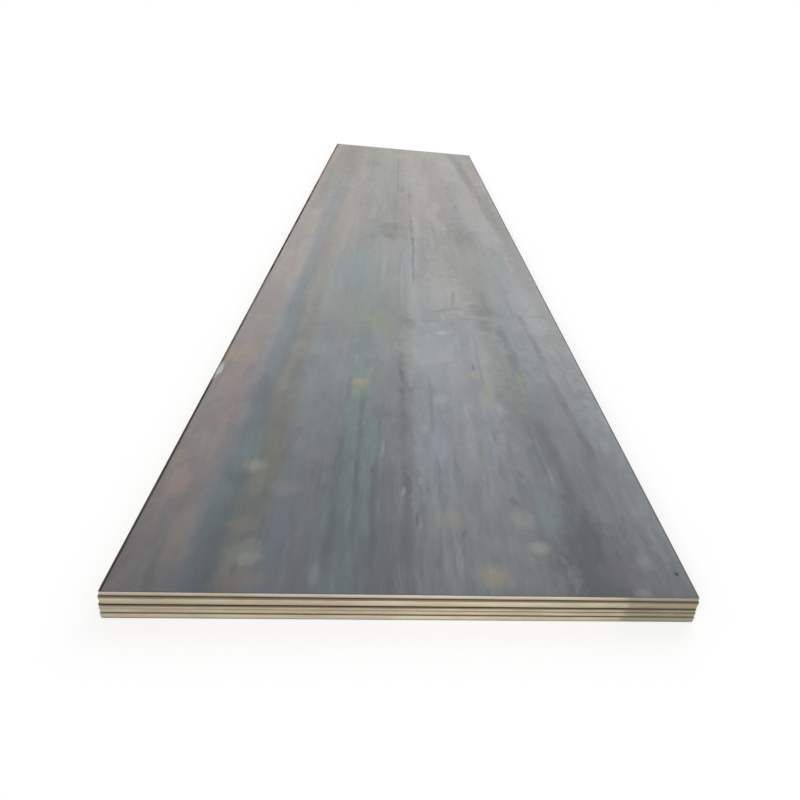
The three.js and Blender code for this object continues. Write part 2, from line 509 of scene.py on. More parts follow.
    Mark(1.205, 0.45, 0.020, 0.120, PALE_FILM, 0.26),
    Mark(1.075, 0.265, 0.085, 0.080, PALE_DUST, 0.20),
    Mark(1.100, 0.163, 0.066, 0.050, PALE_DUST, 0.32),
    Mark(1.090, 0.12, 0.080, 0.035, SMUDGE, 0.40),
    Mark(1.062, 0.345, 0.034, 0.048, DARK_OXIDE, 0.50, 0, 0.6),
    Mark(1.048, 0.50, 0.030, 0.160, DARK_OXIDE, 0.22),
    Mark(0.953, 0.062, 0.080, 0.075, ORANGE_RUST, 0.14),
    Mark(0.965, 0.055, 0.140, 0.100, TAN_RUST, 0.14),
    Mark(0.860, 0.265, 0.110, 0.110, TAN_RUST, 0.17),
    Mark(0.875, 0.11, 0.022, 0.150, PALE_FILM, 0.24),
    Mark(0.895, 0.21, 0.012, 0.036, DARK_OXIDE, 0.50, -20, 0.6),
    Mark(0.850, 0.60, 0.070, 0.200, LILAC_FILM, 0.34, 0, 0.5),
    Mark(0.800, 0.48, 0.060, 0.140, TEAL_PALE, 0.35),
    # near end, left
    Mark(0.738, 0.40, 0.028, 0.070, DARK_OXIDE, 0.45, 0, 0.6),
    Mark(0.763, 0.26, 0.012, 0.070, DARK_OXIDE, 0.60, 0, 0.6),
    Mark(0.725, 0.15, 0.035, 0.180, DARK_OXIDE, 0.35),
    Mark(0.640, 0.17, 0.030, 0.140, DARK_OXIDE, 0.32),
    Mark(0.525, 0.17, 0.040, 0.180, DARK_OXIDE, 0.30),
    Mark(0.576, 0.46, 0.014, 0.130, DARK_OXIDE, 0.40),
    Mark(0.776, 0.415, 0.014, 0.024, WHITE_SCUFF, 0.16),
    Mark(0.724, 0.372, 0.014, 0.050, PALE_FILM, 0.42, -10),
    Mark(0.655, 0.58, 0.018, 0.120, PALE_FILM, 0.35),
    Mark(0.495, 0.065, 0.030, 0.100, PALE_FILM, 0.22),
    Mark(0.370, 0.375, 0.090, 0.070, PALE_DUST, 0.10),
    Mark(0.261, 0.472, 0.092, 0.070, PALE_DUST, 0.32, 15),
    Mark(0.230, 0.41, 0.090, 0.070, DARK_OXIDE, 0.22),
    Mark(0.285, 0.40, 0.060, 0.140, OLIVE_TINT, 0.22),
    Mark(0.240, 0.56, 0.060, 0.200, TEAL_TINT, 0.30),
    Mark(0.290, 0.225, 0.090, 0.080, BROWN_FILM, 0.42),
    Mark(0.260, 0.17, 0.060, 0.050, VIOLET_TINT, 0.35),
    Mark(0.300, 0.125, 0.130, 0.090, PALE_DUST, 0.15, 35),
    Mark(0.325, 0.108, 0.060, 0.050, PALE_DUST, 0.18, 35),
    Mark(0.310, 0.045, 0.130, 0.070, BROWN_FILM, 0.40),
    Mark(0.065, 0.40, 0.090, 0.150, PEACH_TINT, 0.28),
    Mark(0.130, 0.20, 0.080, 0.240, PEACH_TINT, 0.18),
    Mark(0.030, 0.50, 0.050, 0.100, TAN_RUST, 0.22),
)

TOP_FILMS = (
    Mark(1.265, 0.02, 0.260, 0.70, SOOT_AND_SIDE_SHADE, 0.30),
    Mark(1.420, 0.00, 0.200, 0.50, SOOT_AND_SIDE_SHADE, 0.16),
    Mark(0.170, 5.45, 0.340, 1.70, SOOT_AND_SIDE_SHADE, 0.09),
    Mark(0.050, 5.00, 0.120, 2.20, SOOT_AND_SIDE_SHADE, 0.05),
    Mark(0.390, 5.40, 0.200, 1.20, SOOT_AND_SIDE_SHADE, 0.04),
    Mark(0.990, 5.35, 0.190, 1.10, SOOT_AND_SIDE_SHADE, 0.06),
    Mark(1.400, 5.30, 0.200, 1.60, SOOT_AND_SIDE_SHADE, 0.09),
    Mark(0.640, 2.95, 0.190, 0.42, SOOT_AND_SIDE_SHADE, 0.08),
    Mark(0.645, 2.84, 0.130, 0.12, SOOT_AND_SIDE_SHADE, 0.12),
    Mark(1.130, 1.715, 0.140, 0.15, SOOT_AND_SIDE_SHADE, 0.09),
    Mark(1.120, 1.55, 0.100, 0.12, SOOT_AND_SIDE_SHADE, 0.07),
    Mark(1.130, 2.90, 0.260, 0.50, SOOT_AND_SIDE_SHADE, 0.05),
    Mark(1.290, 0.35, 0.420, 1.60, SOOT_AND_SIDE_SHADE, 0.10),
    Mark(1.469, 0.080, 0.013, 0.016, SOOT_AND_SIDE_SHADE, 0.80, 20),
)

# Breaks in the painted shade line along the left side.
TOP_SHADE_BREAKS = (
    Mark(0.003, 1.02, 0.040, 0.120, WHITE_SCUFF, 0.80, 0, 0.5),
    Mark(0.003, 5.35, 0.060, 2.00, WHITE_SCUFF, 0.35, 0, 0.5),
    Mark(0.003, 1.70, 0.060, 1.00, WHITE_SCUFF, 0.30, 0, 0.5),
)

TOP_LINES = (
    OxideLine(1.376, 0.45, 1.75, 0.028, 0.026, 0.75, -0.045),
    OxideLine(1.250, 0.20, 1.60, 0.042, 0.040, 0.62, -0.045),
    OxideLine(1.290, 0.0, 0.75, 0.020, 0.050, 0.35, -0.06),
    OxideLine(1.185, 0.1, 0.90, 0.014, 0.040, 0.38),
    OxideLine(0.735, 0.0, 1.30, 0.020, 0.025, 0.32, -0.015),
    OxideLine(0.770, 0.0, 0.50, 0.014, 0.030, 0.35),
    OxideLine(0.830, 0.0, 1.10, 0.012, 0.030, 0.28),
    OxideLine(0.580, 0.0, 0.95, 0.018, 0.020, 0.42),
    OxideLine(0.636, 0.0, 0.80, 0.018, 0.018, 0.42),
    OxideLine(0.519, 0.0, 1.10, 0.020, 0.022, 0.40),
    OxideLine(1.055, 0.3, 1.50, 0.012, 0.030, 0.26),
    OxideLine(0.785, 1.95, 2.90, 0.014, 0.008, 0.55, 0.012),
    OxideLine(0.785, 2.60, 4.15, 0.024, 0.006, 0.42),
    OxideLine(0.690, 3.90, 5.60, 0.018, 0.006, 0.42),
    OxideLine(0.940, 2.60, 3.30, 0.018, 0.010, 0.24),
)

# Heat tints of the scale, each at full strength beside the next.
ROSE = (0.237, 0.199, 0.189)
MAUVE = (0.212, 0.202, 0.216)
SLATE = (0.133, 0.168, 0.188)
DEEP_SLATE = (0.122, 0.142, 0.147)
OLIVE = (0.172, 0.167, 0.145)
TEAL = (0.145, 0.182, 0.180)
LEAD = (0.188, 0.202, 0.213)
STEEL_GREY = (0.160, 0.172, 0.183)
SILVER = (0.220, 0.233, 0.245)
INK = (0.155, 0.178, 0.184)
LILAC = (0.192, 0.196, 0.213)
# Not a heat tint: the grey that the bands fade to towards the far end, as a painted reflection.
FAR_REFLECTION_GREY = (0.205, 0.198, 0.188)

# Heat tints from the left edge (0) to the right edge (1).
HEAT_BANDS = (
    (0.00, ROSE),
    (0.076, ROSE),
    (0.104, MAUVE),
    (0.131, SLATE),
    (0.140, SLATE),
    (0.158, DEEP_SLATE),
    (0.185, OLIVE),
    (0.206, OLIVE),
    (0.245, LEAD),
    (0.315, LEAD),
    (0.350, TEAL),
    (0.405, TEAL),
    (0.450, STEEL_GREY),
    (0.490, STEEL_GREY),
    (0.515, SILVER),
    (0.708, SILVER),
    (0.768, INK),
    (0.850, INK),
    (0.900, LILAC),
    (0.970, SILVER),
)

# How light the scale is from the near end (0) to the far end (1): a painted reflection, darker and bluer at
# the near end and lighter and warmer at the far end.
REFLECTION_LEVELS = (
    (0.00, (0.38, 0.41, 0.44)),
    (0.05, (0.51, 0.54, 0.56)),
    (0.12, (0.70, 0.74, 0.76)),
    (0.20, (0.93, 0.94, 0.93)),
    (0.40, (1.12, 1.10, 1.07)),
    (1.00, (1.10, 1.04, 0.95)),
)

# The oxide's own lightness, even at 0.5.
GREYS = ((0.0, (0.40, 0.41, 0.42)), (0.5, WHITE), (1.0, (1.75, 1.75, 1.75)))

# Patches of three even levels with crisp borders, around 0.5.
PATCHES = (
    (0.41, (0.87, 0.89, 0.90)),
    (0.44, WHITE),
    (0.55, WHITE),
    (0.58, (1.10, 1.09, 1.08)),
)


@dataclass(frozen=True)
class Wear:
    """What sets one plate's faces apart from another's.

    Attributes:
        gloss: Refractive index, which sets how strongly the faces shine.
        rim: Width of the line of painted shade along the edges.
        marks: Stains and scuffs.
        lines: Ragged dark lines.
        soot_and_side_shade: Width of the matt black line of painted shade along the left side, at the near
            end. The right side's is narrower.
        films: Thin sooty matt films.
        shade_breaks: Places where the line of painted shade along the sides is broken.
        painted_shade: Colour of that line of painted shade.
    """

    gloss: float = 1.3
    rim: float = 14 * MM
    marks: tuple[Mark, ...] = ()
    lines: tuple[OxideLine, ...] = ()
    soot_and_side_shade: float = 0.0
    films: tuple[Mark, ...] = ()
    shade_breaks: tuple[Mark, ...] = ()
    painted_shade: Triple = RIM_SHADE


@dataclass(frozen=True)
class Layer:
    """One layer of noise in the mill scale.

    Attributes:
        wide: Size of its patches across the plate.
        long: Size of its patches along the plate.
        offset: Where in the noise it is taken, so that no two layers are alike.
        detail: How many finer noises are laid over it.
    """

    wide: float
    long: float
    offset: float
    detail: float = 3.0


WIDE_WARP = Layer(0.5, 0.8, 0.0)
FINE_WARP = Layer(0.06, 0.25, 1.0)
BROAD = Layer(0.16, 3.5, 2.0)
STRIPES = Layer(0.05, 1.6, 3.0)
STREAKS = Layer(0.020, 0.20, 4.0, 2.0)
HAIR = Layer(0.007, 0.05, 5.0, 2.0)
CLOUD = Layer(0.18, 0.26, 6.0, 4.0)
MOTTLE = Layer(0.03, 0.06, 7.0)
WARM_STREAKS = Layer(0.020, 0.20, 8.0)
WARM_CLOUD = Layer(0.12, 0.8, 9.0)
GREEN_STREAKS = Layer(0.024, 0.22, 10.0)
GREEN_CLOUD = Layer(0.15, 0.6, 11.0)
WIGGLE = Layer(0.05, 0.11, 12.0)
NEAR_PATCHES = Layer(0.09, 0.20, 13.0, 5.0)
FAR_PATCHES = Layer(0.13, 1.1, 14.0, 4.0)
DASHES = Layer(0.018, 0.14, 15.0, 1.0)
GRAIN = Layer(2.4 * MM, 2.4 * MM, 0.0, 2.0)

# Where parts of the pattern set in or fade out: distances from the near end, and a share of the width.
NEAR_END = (0.3, 1.4)
FAR_PART = (0.8, 2.6)
BRUSHED_SIDE = (0.22, 0.40)

# One end of each drift of the colour. The other end is its opposite.
COLD_END = (0.84, 0.98, 1.14)
ROSE_END = (1.06, 0.94, 1.04)

# In half sizes of a mark: how far the mark reaches, and the oval that it is drawn with. The oval reaches
# further, so that the mark's uneven outline stays inside it.
MARK_RIM = 1.25
OVAL_REACH = 2

# The noise that bends the dark lines: where the first line takes it, how much further on the next one does,
# and how closely it bends them along.
LINE_OFFSET = 20
LINE_SPACING = 3
LINE_BENDS = 3


class MillScale:
    """Blue-grey oxide of a hot-rolled face, drawn out along the rolling direction."""

    def __init__(self, name: str, size: tuple[float, float], seed: float, wear: Wear) -> None:
        """Starts the material with the places and noises that its colour, shine and relief share.

        Args:
            name: The material's name.
            size: The plate's width and length.
            seed: Offset that gives each plate a pattern of its own.
            wear: The plate's own marks and shine.
        """
        self.material, self.graph = new_material(name)
        self.width, self.length = size
        self.seed = seed
        self.wear = wear

        place = self.graph.add("ShaderNodeTexCoord", output="Object")
        self.spot = self.graph.stretch(place, (1, 1, 0), (self.width / 2, self.length / 2, 0))
        self.across, self.along, _ = self.graph.parts(self.spot)
        self.share, self.run = self.across / self.width, self.along / self.length
        self.warped = self.across + self._drawn(WIDE_WARP) * 0.09 + self._drawn(FINE_WARP) * 0.018
        self.broad = self._drawn(BROAD)
        self.stripes = self._drawn(STRIPES)
        self.wiggle = self.graph.vector(self.across + self._drawn(WIGGLE) * 0.030, self.along, 0)
        self.streaks = self._drawn(STREAKS, self.wiggle)
        self.hair = self._drawn(HAIR, self.wiggle)
        self.cloud = self._drawn(CLOUD)
        self.mottle = self._drawn(MOTTLE)
        self.grain = self._drawn(GRAIN)
        self.dashes = self._drawn(DASHES, self.wiggle)

    def build(self) -> bpy.types.Material:
        """Writes the colour, the relief and the shine.

        Returns:
            The material.
        """
        colour = self._heat_tints()
        near, far = self.along.below(*NEAR_END), self.along.above(*FAR_PART)
        brushed = self.share.above(*BRUSHED_SIDE)
        colour = self._lightness(colour, near, far, brushed)
        colour = self._drift(colour, 1 - far * 0.42)
        colour = self._dashed(colour, near * brushed * 0.22)
        colour = self._lined(colour)
        ragged = self.cloud * 1.2 + self.mottle * 1.8
        colour = self._marked(colour, ragged)
        colour = self._rim_shaded(colour)

        roughness = 0.40 + self.streaks * 0.18 + self.cloud * 0.16 + self.mottle * 0.12
        relief = self.streaks * 0.4 + self.mottle * 0.3 + self.hair * 0.15 + self.grain * 0.15
        bump = self.graph.bump(relief, 0.3, 0.4 * MM)
        shine = {"Base Color": colour, "Roughness": roughness, "Normal": bump, "IOR": self.wear.gloss}
        shader = self.graph.paint(shine)
        if self.wear.soot_and_side_shade:
            shader = self._sooted_and_side_shaded(shader, ragged)
        self.graph.surface(shader)
        return self.material

    def _drawn(self, layer: Layer, over: Shade | None = None) -> Shade:
        """One layer of noise around 0.

        Args:
            layer: The layer.
            over: Places that it is laid over, or none for those of the face.

        Returns:
            The noise.
        """
        cells = (1 / layer.wide, 1 / layer.long, 1)
        scaled = self.graph.stretch(over or self.spot, cells, (0, 0, self.seed + layer.offset))
        return self.graph.noise(scaled, 1.0, layer.detail, 0.6) - 0.5

    def _glazed(self, colour: Shade, glaze: Shade, share: Operand = 1.0) -> Shade:
        """The colour under a glaze that lightens, darkens or tints it."""
        return self.graph.mix(share, colour, glaze, "MULTIPLY")

    def _heat_tints(self) -> Shade:
        """Bands of heat tint, which fade to a warm grey and grow lighter towards the far end, as a painted
        reflection.

        Returns:
            The colour.
        """
        bands = self.graph.tint(self.warped / self.width, HEAT_BANDS)
        colour = self.graph.mix(self.run.above(0.15, 0.75) * 0.75, bands, FAR_REFLECTION_GREY)
        return self._glazed(colour, self.graph.tint(self.run + self.cloud * 0.02, REFLECTION_LEVELS))

    def _lightness(self, colour: Shade, near: Shade, far: Shade, brushed: Shade) -> Shade:
        """Lightens and darkens the colour in streaks, stripes, clouds and patches.

        Args:
            colour: The colour so far.
            near: 1 at the near end, falling to 0 further on.
            far: 0 at the near end, rising to 1 further on.
            brushed: 0 along the left edge, 1 where the scale has been brushed.

        Returns:
            The colour.
        """
        light = self.streaks * (0.16 - far * 0.06 + near * (0.07 + brushed * 0.23))
        light = light + self.stripes * (0.20 + brushed * 0.08 - far * 0.08)
        light = light + self.broad * (0.30 + far * 0.36)
        light = light + (self.hair * 0.16 + self.mottle * 0.40) * (0.5 + near * brushed * 0.4)
        light = light + self.cloud * 0.36 + self.grain * 0.10 + 0.5
        colour = self._glazed(colour, self.graph.tint(light, GREYS))
        for amount, layer in ((1 - far * 0.7, NEAR_PATCHES), (far, FAR_PATCHES)):
            patches = self.graph.tint(self._drawn(layer) + 0.5, PATCHES)
            colour = self._glazed(colour, patches, amount)
        return colour

    def _drift(self, colour: Shade, amount: Shade) -> Shade:
        """Lets the colour drift between warm and cold, and between green and rose.

        Args:
            colour: The colour so far.
            amount: How far it drifts.

        Returns:
            The colour.
        """
        warmth = self._drawn(WARM_STREAKS, self.wiggle) * 0.45 + self._drawn(WARM_CLOUD) * 1.3
        warmth = warmth * amount
        green = self._drawn(GREEN_STREAKS, self.wiggle) * 0.5 + self._drawn(GREEN_CLOUD) * 1.15
        green = green * amount
        for swing, low in ((warmth, COLD_END), (green, ROSE_END)):
            high = tuple(2 - part for part in low)
            colour = self._glazed(colour, self.graph.tint(swing + 0.5, [(0.0, low), (1.0, high)]))
        return colour

    def _dashed(self, colour: Shade, amount: Shade) -> Shade:
        """Lays short dark and pale dashes over the colour."""
        colour = self.graph.mix(self.dashes.above(0.04, 0.22) * amount, colour, DARK_OXIDE)
        return self.graph.mix(self.dashes.below(-0.26, -0.04) * amount * 0.5, colour, PALE_FILM)

    def _lined(self, colour: Shade) -> Shade:
        """Lays the ragged dark lines over the colour.

        Args:
            colour: The colour so far.

        Returns:
            The colour.
        """
        ragged = self.mottle * 2.3 + self.streaks * 0.4
        for number, line in enumerate(self.wear.lines):
            colour = self.graph.mix(self._line(line, number, ragged), colour, DARK_OXIDE)
        return colour

    def _line(self, line: OxideLine, number: int, ragged: Shade) -> Shade:
        """How fully one dark line covers the face.

        Args:
            line: The line.
            number: Its number, which gives it a noise of its own.
            ragged: Unevenness of its outline.

        Returns:
            The cover.
        """
        graph = self.graph
        offset = self.seed + LINE_OFFSET + LINE_SPACING * number
        course = graph.stretch(self.spot, (0, LINE_BENDS, 0), (offset, 0, 0))
        sockets = {"Vector": course, "Scale": 1, "Detail": 4}
        sway, gaps, _ = graph.parts(graph.add("ShaderNodeTexNoise", None, sockets, output="Color"))
        middle = (line.start + line.end) / 2
        reach = (line.end - line.start) / 2
        aside, onward, _ = graph.parts(graph.stretch(self.spot, (1, 1, 0), (-line.across, -middle, 0)))
        aside = graph.maths("MULTIPLY_ADD", onward, -line.lean, aside)
        centred = aside + (line.sway - line.lean * reach)
        aside = graph.maths("MULTIPLY_ADD", sway, -2 * line.sway, centred)
        away = abs(aside) / (gaps * line.width) + ragged
        here = graph.fade(abs(onward), reach * 0.75, reach, line.strength)
        return graph.fade(away, 0.4, 1.6) * here * gaps.above(0.32, 0.56)

    def _marked(self, colour: Shade, ragged: Shade) -> Shade:
        """Lays the stains and scuffs over the colour.

        Args:
            colour: The colour so far.
            ragged: Unevenness of their outlines.

        Returns:
            The colour.
        """
        rough = self.graph.vector(self.across, self.along, self.streaks * 0.3)
        for mark in self.wear.marks:
            colour = self.graph.mix(self._cover(mark, rough, ragged), colour, mark.colour)
        return colour

    def _cover(self, mark: Mark, place: Shade, ragged: Shade) -> Shade:
        """How fully one mark covers the face: an oval with an uneven outline.

        Args:
            mark: The mark.
            place: Place on the face, from the near left corner.
            ragged: Unevenness of the outline.

        Returns:
            The cover.
        """
        middle = (mark.across, mark.along, 0)
        size = (mark.width * OVAL_REACH / 2, mark.length * OVAL_REACH / 2, 1)
        oval = self.graph.oval(place, middle, mark.turn, size)
        depth = self.graph.maths("MULTIPLY_ADD", oval, -OVAL_REACH, ragged)
        rim = MARK_RIM - OVAL_REACH
        return self.graph.fade(depth, rim - mark.soft, rim, mark.strength)

    def _rim_shaded(self, colour: Shade) -> Shade:
        """Painted shade: darkens a band along the face's rims. On the lower plates the band lies in the gap
        under the plate above.

        Args:
            colour: The colour so far.

        Returns:
            The colour.
        """
        side = self.graph.least(self.across, self.width - self.across)
        end = self.graph.least(self.along, self.length - self.along)
        rim = self.wear.rim
        painted_shade = self.graph.least(side, end).below(rim, rim * 2.2) * 0.85
        return self.graph.mix(painted_shade, colour, self.wear.painted_shade)

    def _sooted_and_side_shaded(self, shader: Shade, ragged: Shade) -> Shade:
        """Lays a matt black cover over the face: a line of painted shade along each side, and the sooty
        films.

        The cover makes no use of the streaks, because Cycles renders a material black where it has to keep
        too many values at once.

        Args:
            shader: The clean face.
            ragged: Unevenness of the films' outlines.

        Returns:
            The face under its painted shade lines and sooty films.
        """
        soot_and_side_shade = self.graph.paint({"Base Color": (*SOOT_AND_SIDE_SHADE, 1.0), "Roughness": 0.9, "IOR": 1.0})
        rim = self.wear.soot_and_side_shade
        # Painted shade: a line along the left side that widens away from the near end, and a fainter,
        # narrower one along the right.
        wider = self.along * 0.25 + 1
        uneven = self.mottle * (0.6 * rim)
        left = ((self.across + uneven) / wider).below(rim, rim * 1.6) * (self.cloud * 1.6 + 0.9)
        right = ((self.width - self.across + uneven) / wider).below(rim * 0.4, rim * 1.1)
        cover = self.graph.most(left, right * 0.6)
        for place in self.wear.shade_breaks:
            cover = cover * (1 - self._cover(place, self.spot, ragged))
        for film in self.wear.films:
            cover = self.graph.most(cover, self._cover(film, self.spot, ragged))
        return self.graph.cover(cover, shader, soot_and_side_shade)


TAN_CUT = (0.63, 0.55, 0.39)
RUSTY_CUT = (0.58, 0.44, 0.32)
GREY_CUT = (0.56, 0.53, 0.47)
PINK_CUT = (0.55, 0.48, 0.42)
OLIVE_CUT = (0.47, 0.43, 0.27)
DARK_SCRATCH = (0.26, 0.19, 0.12)
BRIGHT_GRAIN = (0.75, 0.70, 0.60)
TORN_BROWN = (0.28, 0.20, 0.12)

OLIVE_OFFSET = 9  # from the noise of the rusty patches to that of the olive ones

# Distances along from the stack's middle, from where the long sides' painted shade ends to where the ends'
# begins.
SIDE_END = (2.98, 2.99)

# How light the cut at the near end is from its left (0) to its right (1). The sharp dark step near the right
# is a painted shadow.
END_TONE_AND_SHADOW = (
    (0.00, (0.85, 0.85, 0.86)),
    (0.35, WHITE),
    (0.50, (1.22, 1.21, 1.24)),
    (0.68, (1.20, 1.20, 1.22)),
    (0.85, (1.00, 1.02, 1.03)),
    (0.866, (0.98, 1.00, 1.00)),
    (0.876, (0.62, 0.66, 0.64)),
    (1.00, (0.60, 0.63, 0.60)),
)


@dataclass(frozen=True)
class EdgeWear:
    """What sets one plate's sheared edge apart from another's.

    Attributes:
        pale: Colour of the clean cut.
        warm: Colour where the film of rust is thicker.
        shoulder: How strongly painted shade darkens the rolled-over shoulder at the plate's ends.
        foot: How strongly painted shade darkens the foot of the cut at the plate's ends.
    """

    pale: Triple = TAN_CUT
    warm: Triple = RUSTY_CUT
    shoulder: float = 0.9
    foot: float = 1.0


@dataclass(frozen=True)
class ShearedSteel:
    """Bare steel of a sheared edge under a thin film of tan flash rust.

    Attributes:
        thickness: The plate's thickness.
        seed: Offset that gives each plate a pattern of its own.
        wear: The edge's own colours and painted shade.
    """

    thickness: float
    seed: float
    wear: EdgeWear

    def build(self, name: str) -> bpy.types.Material:
        """Writes the material.

        Args:
            name: The material's name.

        Returns:
            The material.
        """
        material, graph = new_material(name)
        x, y, _ = graph.parts(graph.add("ShaderNodeTexCoord", output="Object"))
        rise = graph.add("ShaderNodeAttribute", {"attribute_name": RISE}, output="Fac")
        torn = (rise / self.thickness).below(0.30, 0.55)

        def patchy(per_metre: float, height: Shade) -> Shade:
            """Noise with a number of cells to each metre along the edge, taken at a height of its own."""
            return graph.noise(graph.vector(x * per_metre, y * per_metre, height), 1.0, 3, 0.6)

        lines = patchy(3, rise * 600 + self.seed) - 0.5
        patches = patchy(9, rise * 30 + self.seed)
        olive = patchy(6, rise * 30 + self.seed + OLIVE_OFFSET)
        grain = graph.noise(graph.vector(x * 500, y * 500, rise * 500), 1.0) - 0.5

        colour = graph.mix(patches.above(0.42, 0.62), self.wear.pale, self.wear.warm)
        colour = graph.mix(olive.above(0.46, 0.62) * 0.7, colour, OLIVE_CUT)
        colour = graph.mix(lines * 2.2 + 0.20, colour, DARK_SCRATCH)
        colour = graph.mix(grain * 0.8 + 0.1, colour, BRIGHT_GRAIN)
        colour = graph.mix(torn * 0.20, colour, TORN_BROWN)
        # The near cut's lightness along its length; the sharp dark step on the right is a painted shadow.
        tone_and_shadow = graph.tint(((patches - 0.5) * 0.05 + x) / NOMINAL_WIDTH + 0.5, END_TONE_AND_SHADOW)
        at_near_end = y.below(-SIDE_END[1], -SIDE_END[0])
        colour = graph.mix(at_near_end, colour, tone_and_shadow, "MULTIPLY")
        # Painted shade, dark brown, at the foot and the shoulder of the cut, where the gaps between the
        # plates are.
        painted_shade = self._gap_shade(graph, patches * 2 * MM + rise, abs(y).below(*SIDE_END))
        colour = graph.mix(painted_shade * 0.95, colour, BROWN_GAP_SHADE)

        roughness = 0.55 + torn * 0.2 + lines * 0.2
        relief = lines * 0.6 + grain * (0.3 + torn * 0.9)
        bump = graph.bump(relief, 0.4, 0.5 * MM)
        graph.surface(graph.paint({"Base Color": colour, "Roughness": roughness, "Normal": bump}))
        return material

    def _gap_shade(self, graph: Graph, height: Shade, sides: Shade) -> Shade:
        """How much painted shade darkens the foot and the shoulder of the cut, in the gaps between the
        plates.

        Args:
            graph: The material's graph.
            height: Height above the underside, made uneven.
            sides: 1 on the long sides, 0 at the ends.

        Returns:
            The cover.
        """
        foot = height.below(2.4 * MM, 5.4 * MM) * graph.most(sides, self.wear.foot)
        shoulder = (height - self.thickness).above(-3.4 * MM, -0.8 * MM)
        return graph.most(foot, shoulder * graph.most(sides, self.wear.shoulder))


# ------------------------------------------------------------------ the plates

RISE = "rise"  # mesh attribute: height above the plate's own underside
SHARP_ANGLE = math.radians(35)  # between two facets, from which their edge is shaded sharp
SCALE_SLOT, EDGE_SLOT = 0, 1  # the order of a plate's materials

# How far on in the noise the next plate takes its patterns.
SCALE_SPACING = 1.7
EDGE_SPACING = 2.3


class EdgeZone(Enum):
    """The parts of a sheared edge, from the floor up."""

    FOOT = "foot"
    TEAR = "tear"
    LAND = "land"
    SHOULDER = "shoulder"


class Ripple(Enum):
    """Layers of an edge's torn relief: fine steps between two of its knots, and its depth in millimetres."""

    WIDE = (25, 0.10)
    CLOSE = (6, 0.05)
    TORN = (2, 0.12)
    RAGGED_FOOT = (3, 0.10)


@dataclass(frozen=True)
class ShearCut:
    """The section of a sheared edge, its sizes as shares of the plate's thickness.

    Attributes:
        shoulder_depth: Height of the rounded shoulder.
        shoulder_width: Width of the rounded shoulder.
        land: Height of the clean cut.
        lean: Set-back of the torn face for each unit of its height.
        foot: Radius of the round at the foot.
        foot_steps: Facets of that round.
        tear_steps: Facets of the torn face.
        shoulder_steps: Facets of the shoulder.
    """

    shoulder_depth: float = 0.10
    shoulder_width: float = 0.16
    land: float = 0.40
    lean: float = 0.06
    foot: float = 0.06
    foot_steps: int = 3
    tear_steps: int = 5
    shoulder_steps: int = 4

    def section(self, thickness: float) -> list[tuple[float, float, EdgeZone]]:
        """The section as points.

        Args:
            thickness: The plate's thickness.

        Returns:
            Inset, height and zone of each point, from the underside's rim up to the top's rim.
        """
        foot = self.foot * thickness
        land_top = (1 - self.shoulder_depth) * thickness
        land_foot = land_top - self.land * thickness
        lean = self.lean * (land_foot - foot)
        points: list[tuple[float, float, EdgeZone]] = []
        for turn in np.linspace(0, math.pi / 2, self.foot_steps + 1):
            inset = lean + foot - foot * math.sin(turn)
            points.append((inset, foot - foot * math.cos(turn), EdgeZone.FOOT))
        for step in range(1, self.tear_steps + 1):
            share = step / self.tear_steps
            points.append((lean * (1 - share), foot + (land_foot - foot) * share, EdgeZone.TEAR))
        points.append((0.0, (land_foot + land_top) / 2, EdgeZone.LAND))
        for turn in np.linspace(0, math.pi / 2, self.shoulder_steps + 1):
            inset = self.shoulder_width * thickness * (1 - math.cos(turn))
            height = land_top + self.shoulder_depth * thickness * math.sin(turn)
            points.append((inset, height, EdgeZone.SHOULDER))
        return points


